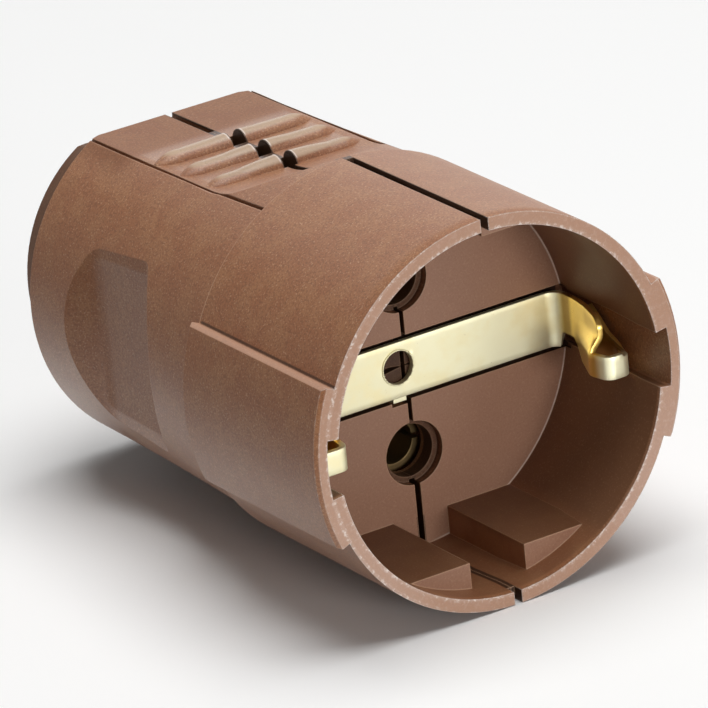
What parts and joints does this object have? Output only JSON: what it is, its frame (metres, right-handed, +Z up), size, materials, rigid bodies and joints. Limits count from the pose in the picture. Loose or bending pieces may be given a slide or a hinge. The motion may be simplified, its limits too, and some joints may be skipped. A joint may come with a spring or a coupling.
{
  "type": "earthed coupling socket",
  "caption": "Rewirable earthed coupling socket for a cord: brown two-part housing, round recess with two pin holes, brass earth clips at both sides.",
  "frame": {"origin": "centre of the mouth plane of the plug recess", "axes": "+Y from the mouth to the cord entry, +Z up, +X to the right of the mouth seen from behind"},
  "size_m": [0.0444, 0.0665, 0.0418],
  "materials": {
    "brown_plastic": "matte",
    "contact_brass": "satin",
    "sleeve_brass": "satin",
    "zinc_steel": "satin",
    "spring_steel": "satin"
  },
  "bodies": {
    "root": {"housing_left": "brown_plastic", "housing_right": "brown_plastic", "earth_bracket": "contact_brass", "earth_terminal_block": "contact_brass", "earth_terminal_screw": "zinc_steel", "line_contact": "sleeve_brass", "neutral_contact": "sleeve_brass", "line_contact_spring": "spring_steel", "neutral_contact_spring": "spring_steel", "line_terminal_block": "contact_brass", "neutral_terminal_block": "contact_brass", "line_terminal_screw": "zinc_steel", "neutral_terminal_screw": "zinc_steel", "cord_clamp_bar": "brown_plastic", "clamp_screw_upper": "zinc_steel", "clamp_screw_lower": "zinc_steel", "housing_screw_front": "zinc_steel", "housing_screw_upper": "zinc_steel", "housing_screw_lower": "zinc_steel", "housing_nut_front": "zinc_steel", "housing_nut_upper": "zinc_steel", "housing_nut_lower": "zinc_steel"}
  },
  "joints": []
}
